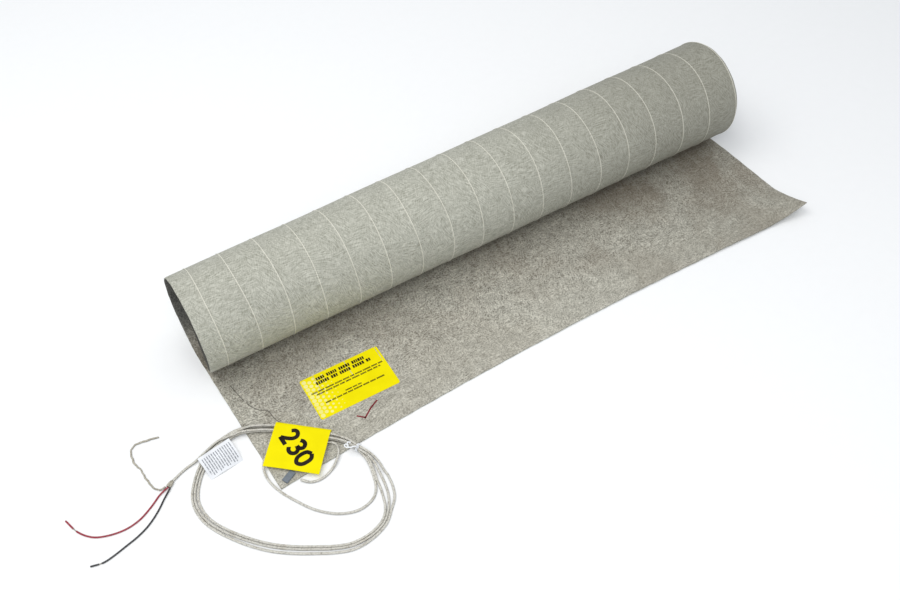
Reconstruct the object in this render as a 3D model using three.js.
// Underfloor heating mat: a thin fabric laminate with a heating wire inside, loosely rolled, with its
// free tail lying flat in front and its power lead coiled and tied beside the tail's corner.
// Millimetres, +Z up. X runs along the roll, the tail points to -Y, and the origin is on the floor
// below the middle of the mat.
import * as THREE from "three";
import { mergeVertices } from "three/addons/utils/BufferGeometryUtils.js";

// Mat
const MAT_WIDTH = 914;
const MAT_THICK = 3;
const ROLL_RADIUS = 79.5;
const ROLL_TAPER = 4;
const ROLL_TURNS = 3.05;
const TURN_STEP = 8;
const TURN_GAP = 0.5;
const SEGMENTS_PER_TURN = 24;
const TAIL_LENGTH = 234;
const EDGE_BOW = 15;
const TAIL_SKEW = 8;
const CURL_HEIGHT = 20;
const CURL_WIDTH = 75;
const CURL_DEPTH = 65;
const CURL_STEPS = 3;
const FLAT_STEPS = 4;

// Labels and trim. A place is counted from the tail's front left corner, or from the origin.
const STICKER = { length: 120, width: 72, thick: 0.4, corner: 3, fromLeft: 152, fromFront: 98, turn: -1.5 };
const SLEEVE = { length: 18, width: 9, thick: 3, corner: 1, fromLeft: 16, fromFront: 10, turn: 25 };
const TAG = { width: 75, reach: 66, thick: 0.8, x: -385.5, y: -103, turn: -41.7, hook: 4, drop: 3.5 };
const RATING = { width: 47, reach: 35, thick: 0.5, x: -499, y: -67, turn: 6 };
const TIE = { length: 5, thick: 1, fit: 0.5 };
const SEAT_GAP = 0.3;

// Power lead and its conductors
const LEAD_DIAMETER = 3.2;
const WIRE_DIAMETER = 2.2;
const BRAID_DIAMETER = 2.4;
const COIL_HEIGHT = 6.8;
const COIL_STEPS = 44;
const JACKET_END = { length: 9, wide: 9.4, high: 4.6, x: -562, y: -80, turn: -147 };

// The roll's axis lies halfway between the origin and the mat's back, so that the origin is in the middle.
const MAX_RADIUS = (ROLL_RADIUS - TURN_STEP / 4) * (1 + ROLL_TAPER / ROLL_RADIUS);
const MAT_DEPTH = TAIL_LENGTH + EDGE_BOW + MAX_RADIUS;
const AXIS_Y = MAT_DEPTH / 2 - MAX_RADIUS;
const TAIL_FRONT = AXIS_Y - TAIL_LENGTH;

const fabric = new THREE.MeshStandardMaterial({ color: 0xa9a79b, roughness: 0.95, metalness: 0 });
const yellowVinyl = new THREE.MeshStandardMaterial({ color: 0xf7ea12, roughness: 0.45, metalness: 0 });
const whiteVinyl = new THREE.MeshStandardMaterial({ color: 0xf2f2f0, roughness: 0.5, metalness: 0 });
const greySleeve = new THREE.MeshStandardMaterial({ color: 0x767f88, roughness: 0.6, metalness: 0 });
const tinnedBraid = new THREE.MeshStandardMaterial({ color: 0xb3aea2, roughness: 0.4, metalness: 0.7 });
const redPlastic = new THREE.MeshStandardMaterial({ color: 0xa3122b, roughness: 0.4, metalness: 0 });
const blackPlastic = new THREE.MeshStandardMaterial({ color: 0x16161a, roughness: 0.4, metalness: 0 });
const whitePlastic = new THREE.MeshStandardMaterial({ color: 0xf4f6f8, roughness: 0.35, metalness: 0 });

const heatingMat = new THREE.Group();

function addMesh(name, geometry, material) {
  const mesh = new THREE.Mesh(geometry, material);
  mesh.name = name;
  heatingMat.add(mesh);
  return mesh;
}

function moveVertices(geometry, place) {
  const position = geometry.getAttribute("position");
  const point = new THREE.Vector3();
  for (let i = 0; i < position.count; i++) {
    point.fromBufferAttribute(position, i);
    place(point);
    position.setXYZ(i, point.x, point.y, point.z);
  }
  return geometry;
}

// An outline in the (Y, Z) plane becomes a solid along X, cut at each of the given X stations.
function extrudeAlongX(shape, stations) {
  const steps = stations.length - 1;
  const geometry = new THREE.ExtrudeGeometry(shape, { depth: steps, steps, bevelEnabled: false });
  geometry.applyMatrix4(
    new THREE.Matrix4().makeBasis(
      new THREE.Vector3(0, 1, 0),
      new THREE.Vector3(0, 0, 1),
      new THREE.Vector3(1, 0, 0),
    ),
  );
  return moveVertices(geometry, (p) => {
    p.x = stations[Math.round(p.x)];
  });
}

// The mat's section: the tail from its front edge to below the roll, then a loose spiral whose inner
// turns sag onto the turns below them.
function matSection() {
  const under = [];
  const upper = [];
  const flatRun = TAIL_LENGTH - CURL_DEPTH;
  for (let i = 0; i < CURL_STEPS; i++) under.push([TAIL_FRONT + (CURL_DEPTH * i) / CURL_STEPS, 0]);
  for (let i = 0; i < FLAT_STEPS; i++) under.push([AXIS_Y - flatRun + (flatRun * i) / FLAT_STEPS, 0]);
  for (const [y] of under) upper.push([y, MAT_THICK]);
  const count = Math.round(ROLL_TURNS * SEGMENTS_PER_TURN);
  for (let i = 0; i <= count; i++) {
    const turns = (ROLL_TURNS * i) / count;
    const angle = 2 * Math.PI * turns;
    const radius = ROLL_RADIUS - TURN_STEP * turns;
    const centre = (MAT_THICK + TURN_GAP) * turns + radius;
    const inner = radius - MAT_THICK;
    under.push([AXIS_Y + radius * Math.sin(angle), centre - radius * Math.cos(angle)]);
    upper.push([AXIS_Y + inner * Math.sin(angle), centre - inner * Math.cos(angle)]);
  }
  return new THREE.Shape([...under, ...upper.reverse()].map(([y, z]) => new THREE.Vector2(y, z)));
}

// The roll is a little wider at its right end, the tail's front edge is bowed and lies a little to the
// right, and its right corner curls up.
function layMat(p) {
  const along = p.x / (MAT_WIDTH / 2);
  const above = THREE.MathUtils.clamp((p.z - MAT_THICK) / MAT_THICK, 0, 1);
  const taper = 1 + (above * along * ROLL_TAPER) / ROLL_RADIUS;
  const forward = THREE.MathUtils.clamp((AXIS_Y - p.y) / TAIL_LENGTH, 0, 1) * (1 - above);
  const fromRight = THREE.MathUtils.clamp(1 - (MAT_WIDTH / 2 - p.x) / CURL_WIDTH, 0, 1);
  const fromFront = THREE.MathUtils.clamp(1 - (p.y - TAIL_FRONT) / CURL_DEPTH, 0, 1);
  p.y = AXIS_Y + (p.y - AXIS_Y) * taper - EDGE_BOW * along ** 2 * forward;
  p.z = p.z * taper + CURL_HEIGHT * (1 - above) * (fromRight * fromFront) ** 1.5;
  p.x += TAIL_SKEW * forward;
}

const matStations = [-0.5, -0.3, -0.1, 0.1, 0.3].map((share) => share * MAT_WIDTH);
for (let i = 0; i <= CURL_STEPS; i++) {
  matStations.push(MAT_WIDTH / 2 - CURL_WIDTH * (1 - i / CURL_STEPS));
}
addMesh("heating_mat", moveVertices(extrudeAlongX(matSection(), matStations), layMat), fabric);

// A flat plate with rounded corners, its underside at the given height.
function roundedPlate(length, width, thick, corner) {
  const x = length / 2;
  const y = width / 2;
  const shape = new THREE.Shape();
  shape.moveTo(-x + corner, -y);
  shape.lineTo(x - corner, -y);
  shape.absarc(x - corner, -y + corner, corner, -Math.PI / 2, 0);
  shape.absarc(x - corner, y - corner, corner, 0, Math.PI / 2);
  shape.absarc(-x + corner, y - corner, corner, Math.PI / 2, Math.PI);
  shape.absarc(-x + corner, -y + corner, corner, Math.PI, 1.5 * Math.PI);
  return new THREE.ExtrudeGeometry(shape, { depth: thick, bevelEnabled: false, curveSegments: 4 });
}

function placeOnTail(mesh, { fromLeft, fromFront, turn }) {
  mesh.position.set(fromLeft - MAT_WIDTH / 2 + TAIL_SKEW, fromFront + TAIL_FRONT - EDGE_BOW, MAT_THICK);
  mesh.rotation.z = THREE.MathUtils.degToRad(turn);
}

const sticker = addMesh(
  "info_sticker",
  roundedPlate(STICKER.length, STICKER.width, STICKER.thick, STICKER.corner),
  yellowVinyl,
);
placeOnTail(sticker, STICKER);

const sleeve = addMesh(
  "lead_sleeve",
  roundedPlate(SLEEVE.length, SLEEVE.width, SLEEVE.thick, SLEEVE.corner),
  greySleeve,
);
placeOnTail(sleeve, SLEEVE);

// Each route is a list of points chosen by hand, on the middle of the cord.
const leadStartRoute = [
  [-422, -166.5, 3.1],
  [-413, -175.5, 1.7],
  [-400, -179, 1.7],
  [-384, -175.5, 1.9],
  [-370, -166.5, 4.3],
  [-361, -155.5, 5.3],
  [-360, -144.5, 5.2],
  [-368, -136.5, 5],
  [-384, -126.5, 5],
  [-402, -116.5, 5],
  [-420, -109.5, 5],
  [-436, -109.5, 5],
  [-449, -116.5, 5.3],
  [-456, -129.5, 4.3],
  [-457, -145.5, 2.1],
  [-452, -165.5, 1.7],
  [-441, -188.5, 1.7],
  [-424, -215.5, 1.7],
  [-401, -235.5, 1.7],
  [-377, -243.5, 1.7],
  [-356, -238.5, 1.7],
];
const leadEndRoute = [
  [-518.6, -67, 3.4],
  [-526.5, -69.5, 2.5],
  [-536, -71, 1.9],
  [-546, -73.5, 1.7],
  [-555, -77, 1.8],
  [-561.5, -79.7, 2.3],
];
const redRoute = [
  [-569.9, -85.2, 2.3],
  [-583, -89.5, 1.4],
  [-597, -98.5, 1.2],
  [-617, -108.5, 1.2],
  [-637, -111.5, 1.2],
  [-659, -107.5, 1.2],
  [-675, -99.5, 1.2],
  [-688, -83.5, 1.2],
  [-696, -60.5, 1.2],
];
const blackRoute = [
  [-568.2, -87.9, 2.3],
  [-580, -97.5, 1.4],
  [-593, -109.5, 1.2],
  [-610, -121.5, 1.2],
  [-626, -128.5, 1.2],
  [-645, -133.5, 1.2],
  [-662, -137.5, 1.2],
  [-675, -139, 1.2],
  [-690, -135.5, 1.2],
];
const braidRoute = [
  [-572.3, -82.9, 2.3],
  [-580, -83.2, 1.7],
  [-586, -74.5, 1.3],
  [-589, -61.5, 1.3],
  [-590, -45.5, 1.3],
  [-594, -25.5, 1.3],
  [-592, -10.5, 1.3],
  [-586, -3.5, 1.3],
  [-575, -3, 1.3],
  [-562, -5.5, 1.3],
  [-552, -8.5, 1.3],
];

function curveOf(route, closed = false) {
  return new THREE.CatmullRomCurve3(route.map(([x, y, z]) => new THREE.Vector3(x, y, z)), closed);
}

function cordAlong(route, diameter, sides, steps) {
  const section = new THREE.Shape();
  for (let i = 0; i < sides; i++) {
    const angle = (2 * Math.PI * i) / sides;
    const x = (Math.cos(angle) * diameter) / 2;
    const y = (Math.sin(angle) * diameter) / 2;
    if (i === 0) section.moveTo(x, y);
    else section.lineTo(x, y);
  }
  section.closePath();
  return new THREE.ExtrudeGeometry(section, { steps, extrudePath: curveOf(route), bevelEnabled: false });
}

addMesh("lead_start", cordAlong(leadStartRoute, LEAD_DIAMETER, 8, 40), tinnedBraid);
addMesh("lead_end", cordAlong(leadEndRoute, LEAD_DIAMETER, 8, 4), tinnedBraid);
addMesh("red_wire", cordAlong(redRoute, WIRE_DIAMETER, 8, 14), redPlastic);
addMesh("black_wire", cordAlong(blackRoute, WIRE_DIAMETER, 8, 12), blackPlastic);
addMesh("ground_braid", cordAlong(braidRoute, BRAID_DIAMETER, 8, 12), tinnedBraid);

// The coil of loose turns, as one solid: the middle of its strands, the height of its underside and
// half its width at each point.
const coilRoute = [
  [-338, -166.5, 3.4, 4.5],
  [-331, -185.5, 2, 5.5],
  [-332, -209.5, 0.5, 9],
  [-334, -229.5, 0, 11.5],
  [-339, -247.5, 0, 11.5],
  [-347, -261.5, 0, 10],
  [-360, -274.5, 0, 8],
  [-384, -282.5, 0, 7],
  [-412, -281.5, 0, 7],
  [-448, -263.5, 0, 7],
  [-492, -232.5, 0, 7],
  [-525, -194.5, 0, 7],
  [-546, -156.5, 0, 7],
  [-549, -126.5, 0, 7],
  [-541, -105.5, 0, 7],
  [-522, -81.5, 0, 7],
  [-500, -64.5, 0.4, 7],
  [-478, -59, 1.4, 7],
  [-460, -59.5, 3.6, 7],
  [-444, -65.5, 3.6, 7],
  [-420, -79.5, 3.4, 7],
  [-390, -105.5, 3.4, 6],
  [-362, -130.5, 3.5, 5],
  [-346, -149.5, 4, 4.5],
];
const coilMiddle = curveOf(coilRoute, true);
const coilWidths = new THREE.CatmullRomCurve3(
  coilRoute.map(([, , , half], i) => new THREE.Vector3(i, half, 0)),
  true,
);

function coilFrame(share) {
  const middle = coilMiddle.getPoint(share);
  const ahead = coilMiddle.getTangent(share).setZ(0).normalize();
  const half = coilWidths.getPoint(share).y;
  return { middle, ahead, across: new THREE.Vector3(ahead.y, -ahead.x, 0), half };
}

const COIL_SIDES = 8;
const coil = new THREE.TorusGeometry(2, 1, COIL_SIDES, COIL_STEPS);
coil.deleteAttribute("normal");
coil.deleteAttribute("uv");
moveVertices(coil, (p) => {
  const turn = Math.atan2(p.y, p.x) / (2 * Math.PI);
  const outward = Math.hypot(p.x, p.y) - 2;
  const { middle, across, half } = coilFrame((turn + 1) % 1);
  const height = middle.z + (COIL_HEIGHT / 2) * (1 + p.z);
  p.copy(middle).addScaledVector(across, outward * half).setZ(height);
});
addMesh("lead_coil", mergeVertices(coil, 1e-3), tinnedBraid);

// The tie is a band right round the coil, where the coil's route starts.
const tieAt = coilFrame(0);
const band = new THREE.Shape();
band.absellipse(0, 0, tieAt.half + TIE.fit + TIE.thick, COIL_HEIGHT / 2 + TIE.fit + TIE.thick, 0, 2 * Math.PI);
const bore = new THREE.Path();
bore.absellipse(0, 0, tieAt.half + TIE.fit, COIL_HEIGHT / 2 + TIE.fit, 0, 2 * Math.PI);
band.holes.push(bore);
const tieGeometry = new THREE.ExtrudeGeometry(band, {
  depth: TIE.length,
  bevelEnabled: false,
  curveSegments: 6,
});
tieGeometry.translate(0, 0, -TIE.length / 2);
tieGeometry.applyMatrix4(
  new THREE.Matrix4().makeBasis(tieAt.across.clone().negate(), new THREE.Vector3(0, 0, 1), tieAt.ahead),
);
const tie = addMesh("twist_tie", tieGeometry, whitePlastic);
tie.position.copy(tieAt.middle).setZ(tieAt.middle.z + COIL_HEIGHT / 2);

// A bent sheet of even thickness: its line runs out from the fold, with the heights as they lie, and it
// is as wide as the given width, to both sides of the line.
function bentSheet(line, { thick, width, x, y, turn }) {
  const upper = [];
  const under = [];
  line.forEach(([out, high], i) => {
    const before = line[Math.max(i - 1, 0)];
    const after = line[Math.min(i + 1, line.length - 1)];
    const size = Math.hypot(after[0] - before[0], after[1] - before[1]);
    const normalOut = ((before[1] - after[1]) / size) * (thick / 2);
    const normalHigh = ((after[0] - before[0]) / size) * (thick / 2);
    upper.push(new THREE.Vector2(out + normalOut, high + normalHigh));
    under.push(new THREE.Vector2(out - normalOut, high - normalHigh));
  });
  const shape = new THREE.Shape([...under, ...upper.reverse()]);
  const geometry = new THREE.ExtrudeGeometry(shape, { depth: width, bevelEnabled: false });
  geometry.translate(0, 0, -width / 2);
  const angle = THREE.MathUtils.degToRad(turn);
  const along = new THREE.Vector3(Math.cos(angle), Math.sin(angle), 0);
  const outward = new THREE.Vector3(along.y, -along.x, 0);
  geometry.applyMatrix4(new THREE.Matrix4().makeBasis(outward, new THREE.Vector3(0, 0, 1), along.negate()));
  return geometry.translate(x, y, 0);
}

// The tag is folded over the outer side of the coil's strands where they cross the mat, and slopes
// down towards its free edge.
const TAG_FOLD_ROOM = 3.2;
const COIL_ON_MAT = 3.8;
const tagTop = COIL_ON_MAT + COIL_HEIGHT + SEAT_GAP + TAG.thick / 2;
const tagLine = [
  [-TAG_FOLD_ROOM, tagTop - TAG.hook - 1.5],
  [-TAG_FOLD_ROOM, tagTop - 1.5],
  [-TAG_FOLD_ROOM + 1.5, tagTop],
  [12, tagTop],
  [TAG.reach - TAG_FOLD_ROOM, tagTop - TAG.drop],
];
addMesh("voltage_tag", bentSheet(tagLine, TAG), yellowVinyl);

// The rating label hangs over the coil where the lead's end leaves it, with its free edge on the floor
// inside the coil.
const RATING_RISE = 0.5;
const ratingTop = COIL_HEIGHT + RATING_RISE + SEAT_GAP + RATING.thick / 2;
const ratingLine = [
  [0, ratingTop],
  [12, ratingTop],
  [21, ratingTop - 1.4],
  [RATING.reach, SEAT_GAP + RATING.thick / 2],
];
addMesh("rating_label", bentSheet(ratingLine, RATING), whiteVinyl);

// The jacket ends in a flattened twist of its braid, and the conductors leave its far face side by side.
const endShape = new THREE.Shape();
endShape.absellipse(0, 0, JACKET_END.wide / 2, JACKET_END.high / 2, 0, 2 * Math.PI);
const jacketEndGeometry = new THREE.ExtrudeGeometry(endShape, {
  depth: JACKET_END.length,
  bevelEnabled: false,
  curveSegments: 6,
});
const jacketAngle = THREE.MathUtils.degToRad(JACKET_END.turn);
const jacketAlong = new THREE.Vector3(Math.cos(jacketAngle), Math.sin(jacketAngle), 0);
jacketEndGeometry.applyMatrix4(
  new THREE.Matrix4().makeBasis(
    new THREE.Vector3(-jacketAlong.y, jacketAlong.x, 0),
    new THREE.Vector3(0, 0, 1),
    jacketAlong,
  ),
);
const jacketEnd = addMesh("jacket_end", jacketEndGeometry, tinnedBraid);
jacketEnd.position.set(JACKET_END.x, JACKET_END.y, JACKET_END.high / 2);

export default heatingMat;
